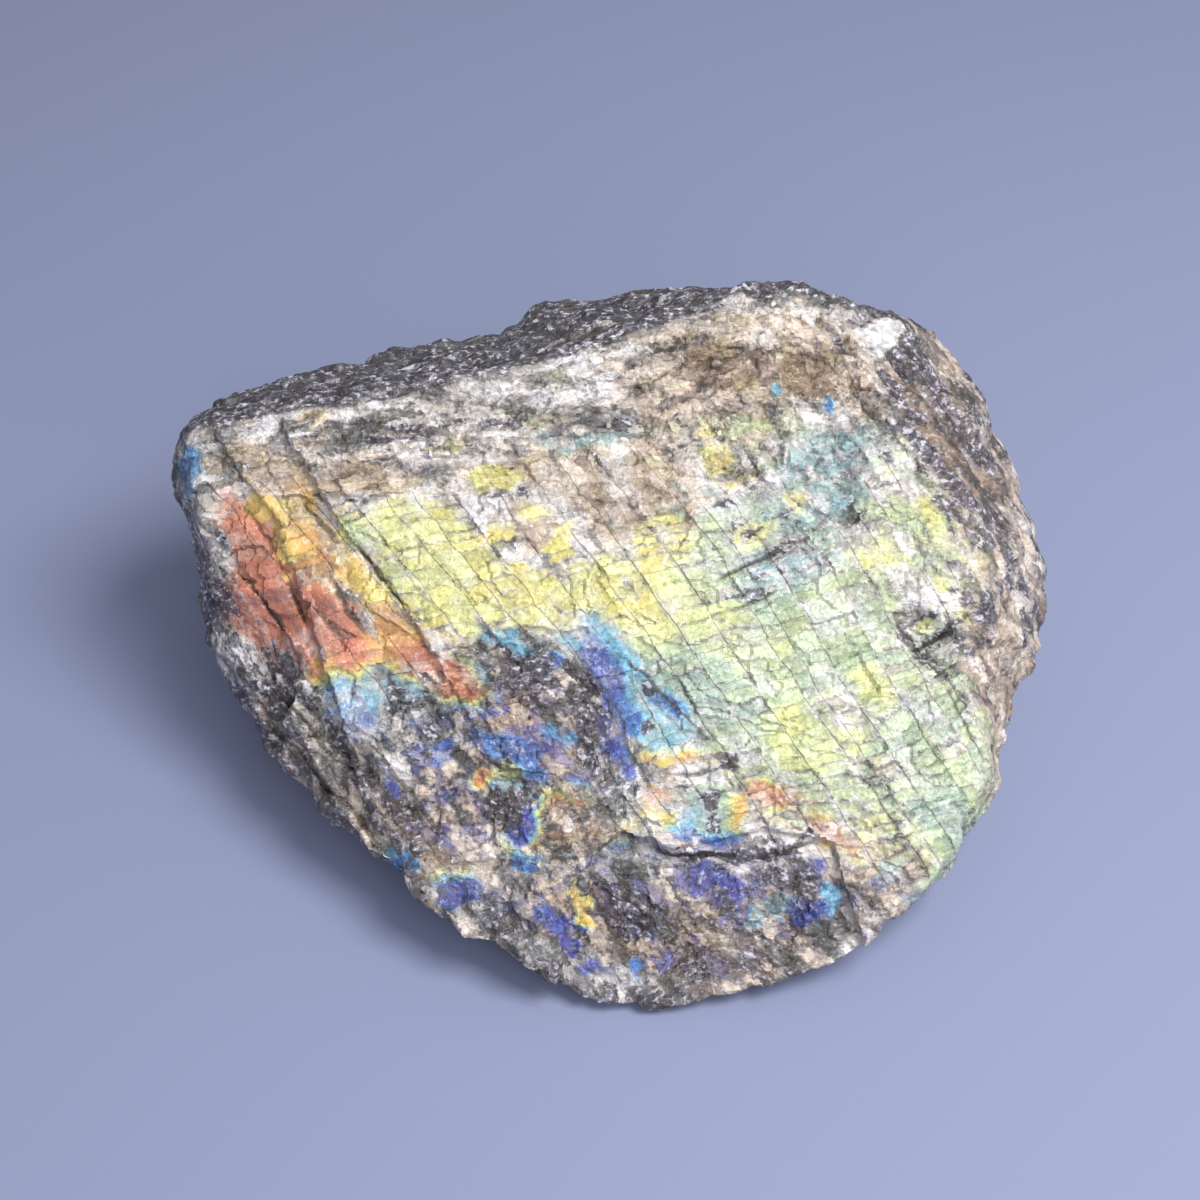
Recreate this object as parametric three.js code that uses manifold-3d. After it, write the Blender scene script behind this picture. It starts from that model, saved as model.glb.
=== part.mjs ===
// A rough chunk of labradorite feldspar, about 124 mm wide, lying on the flat that it broke off on.
//
// Frame: millimetres, +Z up, +X to the right of the bright cleavage face, -Y towards whoever looks at that
// face. The origin is under the middle of the stone, on the surface that it rests on.
//
// The stone is one piece. Its block is the convex hull of the corners below, with the cleavage face cut flat
// and the edges chipped and worn. Hollows are pressed into it, its skin is roughened, and then slabs are
// cleaved off its face.
import * as THREE from "three";
import { ConvexGeometry } from "three/addons/geometries/ConvexGeometry.js";
import { mergeVertices } from "three/addons/utils/BufferGeometryUtils.js";
import Module from "manifold-3d";

const wasm = await Module();
wasm.setup();

// ---- Driving dimensions ----
const FACE_SLOPE = 0.65; // rise of the cleavage face per millimetre towards the back
const FACE_HEIGHT = 37; // of the cleavage face over the middle of the stone
const HEART = new THREE.Vector3(0, 2, 19); // the whole skin is in sight of this point, so it never folds over
const EGG = { width: 62, length: 52, thickness: 21, tilt: 17 }; // half sizes and degrees of the skin's first shape
const SKIN_DETAIL = 17; // how often each edge of the skin's icosahedron is divided
const SINK = 1.5; // how deep the block stands in the floor before the flat under it is cut
const CHIPS = 70; // flats knocked off the block's edges
const CHIP_DEPTH = 1.6; // of the deepest chip
const WEAR = 0.35; // how far each point moves towards its neighbours, which rounds the edges

const faceNormal = new THREE.Vector3(0, -FACE_SLOPE, 1).normalize();
const faceUphill = new THREE.Vector3(0, 1, FACE_SLOPE).normalize();
const faceOrigin = new THREE.Vector3(0, 0, FACE_HEIGHT);

// ---- The block's corners ----
const corners = {
  // Where the cleavage face ends, at the back and on the right
  crest: [
    [-57, 15, 47], [-37, 17, 48], [-23, 20, 50], [-5, 23, 52], [7, 28, 55.5], [21, 32, 58], [32, 33, 59],
    [38, 30, 57], [42, 17, 48.5], [50, 5, 41], [49, -10, 31], [50, -20, 24.5], [49, -28, 19],
  ],
  // Where it ends, at the front and on the left, over the ledge and the flank
  brow: [
    [42, -36, 12], [30, -42, 10.5], [2, -37, 14], [-15, -33, 14], [-26, -24.5, 20], [-33, -16, 25.5],
    [-41, -8, 31], [-53, 1, 37],
  ],
  // The far edge of the dark crust behind the crest
  backRim: [
    [-60.5, 22, 43], [-59, 30, 40.5], [-40, 40, 37.5], [-20, 43.5, 40], [-4, 50.5, 46.5], [9, 43, 50],
    [28, 36, 57], [40, 35, 55.5], [48, 37.5, 48], [59, 26, 38], [65.5, 14, 30],
  ],
  // The widest line round the rest of the stone
  waist: [
    [63.5, 5, 23], [59, -6, 17], [57.5, -14, 12.5], [48.5, -31, 9], [35, -41.5, 7.5], [26, -49, 5.5], [13, -55, 4.5],
    [2, -54, 5], [-11, -44.5, 8], [-29, -32, 11], [-46, -15.5, 13], [-53, -2, 15], [-58, 10, 18],
    [-61, 19, 28], [-51, 35, 15], [-20, 47, 14], [12, 50, 18], [43, 42, 20], [58, 28, 19],
  ],
  // The edge of the underside
  foot: [
    [-35, 2, 0], [-32, 20, 0], [-14, 29, 0], [14, 32, 0], [34, 24, 0], [42, 8, 0], [38, -14, 0], [26, -30, 0],
    [8, -37, 0], [-8, -31, 0], [-25, -16, 0],
  ],
};

// Hollows pressed into the block, and swellings where depth is negative
const hollows = [
  { at: [-28, 33, 44], width: 9, depth: 1.4 }, // saddle in the crust behind the crest
  { at: [9, 40, 50], width: 8, depth: 2.0 }, // notch beside the hump
  { at: [46, -8, 29], width: 10, depth: 4.0 }, // scoop in the right edge of the face
  { at: [58, -8, 18], width: 8, depth: 1.8 }, // where the scoop reaches the outline
  { at: [-4, 19, 50], width: 11, depth: 1.8 }, // shallow valley below the crest
  { at: [24, 12, 45], width: 17, depth: -1.2 }, // low swell of the face
  { at: [-46, 4, 22], width: 12, depth: 1.6 }, // hollow in the left flank
  { at: [6, 48, 26], width: 14, depth: 2.5 }, // scallop in the back
  { at: [-38, 38, 26], width: 12, depth: 2.0 }, // and another beside it
];

// Slabs cleaved off the face. Each outline is in millimetres across and up the face from its origin. Inside
// it the stone is gone down to a tread, which lies depth below the face at the point given, and gets deeper
// by so much per millimetre across and up.
const cleaves = [
  {
    outline: [[-8, -62], [-13, -42], [-17, -22], [-28, -3], [-35, 5], [-40, 13], [-52, 32], [-90, 32], [-90, -62]],
    tread: { at: [-28, -3], depth: 1.2, across: -0.03, up: 0 },
  },
  {
    outline: [[-30, -40], [-34, -24], [-39, -8], [-41, -2], [-45, 8], [-50, 14], [-60, 30], [-90, 30], [-90, -40]],
    tread: { at: [-41, -2], depth: 3, across: -0.18, up: -0.09 },
  },
  {
    outline: [[-46, -34], [-41, -12], [-48, -1], [-52, 5], [-62, 18], [-90, 18], [-90, -34]],
    tread: { at: [-48, -1], depth: 5, across: -0.41, up: -0.36 },
  },
  {
    outline: [[38, -62], [33, -46], [31, -38], [22, -36], [10, -38.5], [2, -36.5], [-3, -42], [-7, -62], [10, -80]],
    tread: { at: [10, -38], depth: 1.5, across: 0, up: -0.09 },
  },
];

// ---- Small tools ----
const mix = THREE.MathUtils.lerp;
const ease = (t) => t * t * (3 - 2 * t);

// A number from -1 to 1 for each point of the whole-number grid
function grain(i, j, k) {
  const wave = Math.sin(i * 127.1 + j * 311.7 + k * 74.7) * 43758.5453;
  return 2 * (wave - Math.floor(wave)) - 1;
}

// Smooth noise from -1 to 1, with lumps of the given size
function noise(p, size) {
  const [x, y, z] = [p.x / size, p.y / size, p.z / size];
  const [i, j, k] = [Math.floor(x), Math.floor(y), Math.floor(z)];
  const [u, v, w] = [ease(x - i), ease(y - j), ease(z - k)];
  const along = (b, c) => mix(grain(i, j + b, k + c), grain(i + 1, j + b, k + c), u);
  return mix(mix(along(0, 0), along(1, 0), v), mix(along(0, 1), along(1, 1), v), w);
}

// Noise folded at zero: round lumps that meet in sharp creases
const creased = (p, size) => 2 * Math.abs(noise(p, size)) - 0.5;

// A closed three.js geometry as a manifold-3d solid, and back
function toSolid(geometry) {
  const bare = geometry.clone();
  bare.deleteAttribute("normal");
  bare.deleteAttribute("uv");
  const merged = mergeVertices(bare, 1e-4);
  return new wasm.Manifold(
    new wasm.Mesh({
      numProp: 3,
      vertProperties: new Float32Array(merged.attributes.position.array),
      triVerts: new Uint32Array(merged.index.array),
    }),
  );
}

function toGeometry(solid) {
  const mesh = solid.getMesh();
  const geometry = new THREE.BufferGeometry();
  geometry.setAttribute("position", new THREE.BufferAttribute(mesh.vertProperties, 3));
  geometry.setIndex(new THREE.BufferAttribute(mesh.triVerts, 1));
  return geometry;
}

// ---- The block ----
// The plane through a point, by its outward normal and its distance from the heart
const planeThrough = (point, normal) => ({ normal, distance: normal.dot(point.clone().sub(HEART)) });

function hullPlanes(points) {
  const position = new ConvexGeometry(points).attributes.position;
  const planes = [];
  for (let i = 0; i < position.count; i += 3) {
    const [a, b, c] = [0, 1, 2].map((n) => new THREE.Vector3().fromBufferAttribute(position, i + n));
    planes.push(planeThrough(a, new THREE.Triangle(a, b, c).getNormal(new THREE.Vector3())));
  }
  return planes;
}

// Flats that take a bite off whatever stands out furthest in each of many evenly spread directions
function chipPlanes(points) {
  const goldenTurn = Math.PI * (3 - Math.sqrt(5));
  return Array.from({ length: CHIPS }, (_, n) => {
    const polar = Math.acos(1 - (2 * n + 1) / CHIPS);
    const normal = new THREE.Vector3().setFromSphericalCoords(1, polar, n * goldenTurn);
    const furthest = points.reduce((best, p) => (p.dot(normal) > best.dot(normal) ? p : best));
    const plane = planeThrough(furthest, normal);
    plane.distance -= CHIP_DEPTH * (0.6 + 0.4 * grain(n, 1, 2));
    return plane;
  });
}

function blockPlanes() {
  const points = Object.values(corners).flat().map((c) => new THREE.Vector3(...c));
  points.filter((p) => p.z === 0).forEach((p) => (p.z = -SINK));
  return [planeThrough(faceOrigin, faceNormal), ...hullPlanes(points), ...chipPlanes(points)];
}

// How far the block reaches from the heart in a direction
function reach(direction, planes) {
  let least = Infinity;
  for (const { normal, distance } of planes) {
    const towards = normal.dot(direction);
    if (towards > 0) least = Math.min(least, distance / towards);
  }
  return least;
}

// ---- The skin ----
// Each vertex's neighbours, from an indexed geometry
function neighboursOf(geometry) {
  const neighbours = Array.from({ length: geometry.attributes.position.count }, () => new Set());
  const index = geometry.index.array;
  for (let i = 0; i < index.length; i += 3) {
    for (let n = 0; n < 3; n++) {
      const [a, b] = [index[i + n], index[i + ((n + 1) % 3)]];
      neighbours[a].add(b);
      neighbours[b].add(a);
    }
  }
  return neighbours;
}

// An egg about as long, wide and thick as the stone, so that its points spread evenly over the block
function makeEgg() {
  const start = new THREE.IcosahedronGeometry(1, SKIN_DETAIL);
  start.deleteAttribute("normal");
  start.deleteAttribute("uv");
  const egg = mergeVertices(start, 1e-5);
  egg.scale(EGG.width, EGG.length, EGG.thickness);
  egg.rotateX(THREE.MathUtils.degToRad(EGG.tilt));
  return egg;
}

// How far the skin stands out at a point: the cleavage face is nearly smooth, and the broken sides are hackly
function roughness(p, normal) {
  const onFace = THREE.MathUtils.smoothstep(normal.dot(faceNormal), 0.8, 0.97);
  return mix(1, 0.3, onFace) * (1.2 * noise(p, 19) + 1.1 * creased(p, 11) + 0.6 * noise(p, 6));
}

function makeSkin() {
  const skin = makeEgg();
  const position = skin.attributes.position;
  const directions = Array.from({ length: position.count }, (_, i) =>
    new THREE.Vector3().fromBufferAttribute(position, i).normalize(),
  );
  const placeAt = (i, radius) => {
    const p = directions[i].clone().multiplyScalar(radius).add(HEART);
    position.setXYZ(i, p.x, p.y, Math.max(p.z, 0));
    return p;
  };

  const planes = blockPlanes();
  const neighbours = neighboursOf(skin);
  const sharp = directions.map((direction) => reach(direction, planes));
  const worn = sharp.map((radius, i) => {
    const around = [...neighbours[i]];
    return mix(radius, around.reduce((sum, n) => sum + sharp[n], 0) / around.length, WEAR);
  });
  worn.forEach((radius, i) => placeAt(i, radius));
  skin.computeVertexNormals();

  worn.forEach((radius, i) => {
    const normal = new THREE.Vector3().fromBufferAttribute(skin.attributes.normal, i);
    const p = placeAt(i, radius);
    const pressed = hollows.reduce((sum, { at, width, depth }) => {
      const away = p.distanceTo(new THREE.Vector3(...at)) / width;
      return sum + depth * Math.exp(-away * away);
    }, 0);
    placeAt(i, radius - pressed + roughness(p, normal));
  });
  return skin;
}

// ---- Cleaving ----
// The space that a slab took up, as a prism that stands on its tread and sticks out of the face
function slabSpace({ outline, tread }) {
  const shape = new THREE.Shape(outline.map((point) => new THREE.Vector2(...point)));
  const prism = new THREE.ExtrudeGeometry(shape, { depth: 20, bevelEnabled: false });
  const position = prism.attributes.position;
  for (let i = 0; i < position.count; i++) {
    if (position.getZ(i) > 0) continue;
    const across = position.getX(i) - tread.at[0];
    const up = position.getY(i) - tread.at[1];
    position.setZ(i, -(tread.depth + tread.across * across + tread.up * up));
  }
  prism.applyMatrix4(new THREE.Matrix4().makeBasis(new THREE.Vector3(1, 0, 0), faceUphill, faceNormal));
  prism.translate(...faceOrigin.toArray());
  return toSolid(prism);
}

function makeStone() {
  const cleaved = cleaves.reduce((stone, cleave) => stone.subtract(slabSpace(cleave)), toSolid(makeSkin()));
  const geometry = toGeometry(cleaved);
  geometry.computeBoundingBox();
  const middle = geometry.boundingBox.getCenter(new THREE.Vector3());
  geometry.translate(-middle.x, -middle.y, 0);
  return geometry;
}

// ---- The part ----
const feldspar = new THREE.MeshStandardMaterial({
  name: "labradorite",
  color: 0xa39f8c,
  roughness: 0.5,
  metalness: 0,
});

const chunk = new THREE.Mesh(makeStone(), feldspar);
chunk.name = "labradorite_chunk";

const part = new THREE.Group();
part.add(chunk);

export default part;
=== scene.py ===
"""A rough chunk of labradorite feldspar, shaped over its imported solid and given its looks.

The stone is one piece. It is remeshed from a merged copy of its solid, its cleavage steps are cut, its skin
is broken up, the fields that place its colours are painted on, and a material is built that reads them.

Places on the cleavage face are given as (across, up) in millimetres from the middle of that face.
"""

import math

import bpy
import numpy as np
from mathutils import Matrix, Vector


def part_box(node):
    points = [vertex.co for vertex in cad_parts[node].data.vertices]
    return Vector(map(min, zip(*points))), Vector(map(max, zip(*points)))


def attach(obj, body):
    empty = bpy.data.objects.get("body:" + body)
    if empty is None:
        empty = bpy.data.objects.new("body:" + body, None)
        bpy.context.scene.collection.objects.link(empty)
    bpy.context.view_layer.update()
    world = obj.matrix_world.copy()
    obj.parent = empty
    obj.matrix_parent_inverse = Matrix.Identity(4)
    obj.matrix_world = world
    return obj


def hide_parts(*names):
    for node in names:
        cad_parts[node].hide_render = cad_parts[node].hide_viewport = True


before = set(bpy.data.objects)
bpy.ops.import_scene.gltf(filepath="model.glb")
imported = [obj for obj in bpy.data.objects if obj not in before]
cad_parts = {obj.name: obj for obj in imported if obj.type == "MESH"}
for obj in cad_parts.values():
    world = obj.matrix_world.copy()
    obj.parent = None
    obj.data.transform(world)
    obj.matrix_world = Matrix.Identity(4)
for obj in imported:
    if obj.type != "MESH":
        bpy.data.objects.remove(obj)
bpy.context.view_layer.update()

bl_info = {
    "name": "Rough Labradorite",
    "version": (1, 0, 0),
    "blender": (4, 5, 0),
    "location": "View3D > Sidebar > Stone",
    "description": "Shapes and paints a rough chunk of labradorite and sets it on a stage",
    "category": "Add Mesh",
}

MM = 0.001
NODE = "labradorite_chunk"
MERGE_DISTANCE = 1e-6
SMOOTHED_UP_TO = math.radians(32)
FELDSPAR_IOR = 1.55

# The cleavage face: its middle, its slope, and the directions across it, up it and out of it
FACE_MIDDLE = Vector((-1.083, -0.533, 37))
FACE_SLOPE = 0.65
ACROSS = Vector((1, 0, 0))
UPHILL = Vector((0, 1, FACE_SLOPE)).normalized()
OUTWARD = Vector((0, -FACE_SLOPE, 1)).normalized()

# Where the cleavage face ends, all the way round
FACE_EDGE = [
    (-58, 19), (-45, 21), (-26, 23), (-12, 26.5), (-3, 30), (8, 33), (20, 38), (31, 38.5), (38, 30),
    (41.5, 19), (46.5, 12), (49.5, 2), (48, -6), (48, -13), (51, -20), (52, -27), (50, -36), (44, -44),
    (35, -49), (25, -53), (12, -57), (0, -55), (-9, -49), (-16, -41), (-25, -33), (-33, -22), (-39, -13),
    (-47, -7), (-53, 1), (-57, 10),
]

# How deep under the cleavage face still counts as part of it
FACE_DEPTH = 8

# The line of the crest over the face, and the way up its back, as parts up and out of the face
CREST_LINE = [(-60, 20), (-45, 21), (-26, 23), (-3, 30), (20, 38), (60, 20)]
CREST_WAY = (0.98, 0.2)

# The dip in the crest's back: where it is across, its half width, its depth, and where it begins up the back
DIP_PLACE = -17
DIP_WIDTH = 6
DIP_DEPTH = 3.4
DIP_RISE = (24, 32)

# The grain: two ways that it is measured, as parts across and up, and how much the first one curves
GRAIN_WAYS = ((0.82, 0.57), (-0.28, 0.96))
GRAIN_CURVE = 0.002

# Cleavage blocks and the slabs that they are part of: width and length in millimetres, then how steeply
# their tops lean each way, and how far they stand over or under the next
BLOCK_SIZE = (4.2, 1.9)
BLOCK_TOP = (0.22, 0.45, 0.3)
SLAB_SIZE = (12, 8)
SLAB_TOP = (0.1, 0.1, 0.3)
ROW_SHIFT = 400
TERRACES = 9

# Ways of measuring a place: plainly, and along, across and under streaks that are level or fall
PLAIN_WAYS = ((1, 0, 0), (0, 1, 0), (0, 0, 1))
LEVEL = ((1, 0.14, 0), (-0.14, 1, 0.3), (0, -0.3, 1))
FALLING = ((0.58, -0.81, 0), (0.81, 0.58, 0.3), (0, -0.3, 1))

# A wobble's waves: how many, what brings their sum down to about 1, and the spread of their sizes
WAVES = 7
WAVES_HEIGHT = 4
WAVE_SPREAD = (0.6, 1.5)
FULL_TURN = 6.3

# A brush stroke fades between these shares of its size. The flash's hue is spread wider than its strength.
STROKE_RIM = (0.65, 1.3)
HUE_SPREAD = 1.25
PLAIN_HUE = 0.6

# A step fades in and out over these shares of its length, and drops over these millimetres beside its line
STEP_START = (-0.15, 0.3)
STEP_END = (0.7, 1.15)
STEP_LIP = (-0.2, 0.25)
# Painted shade: where the dark line beside each step lies, and how wide it is
STEP_SHADOW_PLACE = 0.15
STEP_SHADOW_WIDTH = 0.38

# The stage: what the camera looks at, and each light's name, place, width, share of the power and colour
LOOK_AT = Vector((FACE_MIDDLE.x, FACE_MIDDLE.y, 30)) * MM
SENSOR_WIDTH = 36
NEAREST_SEEN = 0.01
LIGHTS = (
    ("key", (0.27, -0.14, 0.53), 0.28, 1, (1, 0.98, 0.95)),
    ("front", (0.14, -0.52, 0.46), 0.4, 0.44, (0.97, 0.98, 1)),
)
SKY_COLOUR = (0.88, 0.91, 1, 1)
FLOOR_SIZE = 3
FLOOR_ROUGHNESS = 0.7

# Cleavage steps: a line from (across, up) to (across, up), how much lower the ground on its left is, and
# over how far it comes back level
STEPS = [
    # The blades on the left
    (-50.5, 11, -42.8, -0.9, 1, 3), (-43.2, 0, -40, -9, 1.3, 3.2), (-51.7, 2, -41.5, -10.5, 1.2, 2.4),
    (-41.5, 11, -35.4, 1.5, 1, 2.8), (-37.6, -0.3, -31.5, -11, 1.1, 2.6), (-39.6, -4, -33, -13, 0.7, 2.4),
    (-37.5, 1, -27, -12, 0.5, 2), (-36.8, 6.5, -22, -10.6, 0.8, 3), (-31, 4, -18, -10.6, 0.6, 3),
    (-29.3, -12, -25, -26, 0.8, 2.4), (-36, -20, -17, -40.5, 1.2, 3), (-25.5, -24, -14, -40, 0.5, 2.4),
    (-52, -8, -30, -32, 1.2, 3), (-50, -16, -24, -44, 1, 2.4), (-42, -18, -22, -38, 1, 2.5),
    # Over the yellow field
    (-20.5, 8, -7, -8.5, 0.5, 4.5), (-4, 4, 5, -7, 0.3, 4),
    # The bay and the ridge on its right
    (-17, -9, 0, -9.5, -0.5, 4.5), (-1, -9, 19, -28, 1.2, 5), (3, -15, 14, -26, 0.6, 2),
    (0, -14, 5, -30, 0.8, 4), (8, -29, 19, -28, -0.7, 3), (-16, -27, -6, -29, -0.6, 3),
    (20, -30, 30, -37, 0.6, 4),
    # Over the green field
    (27, 3, 14, -3, 0.8, 2.4), (26, -3, 15, -7, 0.6, 2), (24, 7, 14, 1, 0.4, 2),
    (19, -3, 31, -27, 0.3, 3.5), (28, -8, 41, -37, 0.3, 3.5), (37, -8, 48, -34, 0.3, 3.5),
    (16, -14, 25, -30, 0.25, 3.5), (10, -12, 35, -6, -0.3, 3), (20, -22, 46, -17, -0.3, 3),
    (24, -31, 48, -28, -0.3, 3),
    # Along the shoulder under the crest
    (14, 20, -12, 17.5, 0.5, 3.5), (4, 27, -16, 22, 0.5, 3), (-12, 16, -36, 14, 0.4, 3.5),
    (-24, 21, -46, 17, 0.4, 2.5), (-26, 10, -42, 9.5, 0.5, 2), (36, 22, 14, 23, 0.5, 4),
    (25, 16, 8, 10, 0.4, 3.5),
    # The right edge and its fold
    (39.5, -6, 46, -15.5, 1.5, 4), (46, -15, 52.5, -30, 0.9, 3), (50, -7, 41, -12, 1.2, 3),
    (52, -11, 44, -16, 0.8, 2.5), (52, -15, 46, -21, 0.7, 2.5),
    # Below the ledge
    (30, -37.2, 19, -39.3, 1.1, 3), (22, -39.2, 4, -38.2, 1.2, 3), (-2, -42, 5, -55, 0.9, 2.5),
    (-8, -42, -1, -56, 0.7, 2), (8, -44, 14, -56, 0.5, 3), (30, -42, 24, -54, -0.6, 3),
]

# Pits and hollows: across, up, half length, half width, turn in degrees, depth
PITS = [
    (2, 20.5, 5, 1.6, -12, 1.8), (-10, -14, 7.5, 4.5, -10, 1.1), (-3, -21, 4, 7, 15, 1.2),
    (-13, -33, 5.5, 4, 20, 1.3), (-18, -24, 7, 4, -40, 0.7), (18, 27, 5.5, 3, 10, 1.3),
    (30, 27, 5.5, 2.6, -30, 1.2), (21, 21, 4, 2, -20, 0.7), (46, -11, 6, 3, -35, 2),
    (22, -43, 8, 4, 0, 0.9), (2, -47, 5, 3, -50, 1.2), (31, 9, 4, 6, 0, 0.8), (14, -36, 4, 3, -30, 0.7),
    (-6, 26, 9, 2.5, 10, -0.8), (22, 33, 10, 3, 10, -0.9), (38, 27, 3, 8, 20, -1),
]

# Painted patches: across, up, half length, half width, turn in degrees, and what is painted. A later one
# covers an earlier one.

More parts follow.
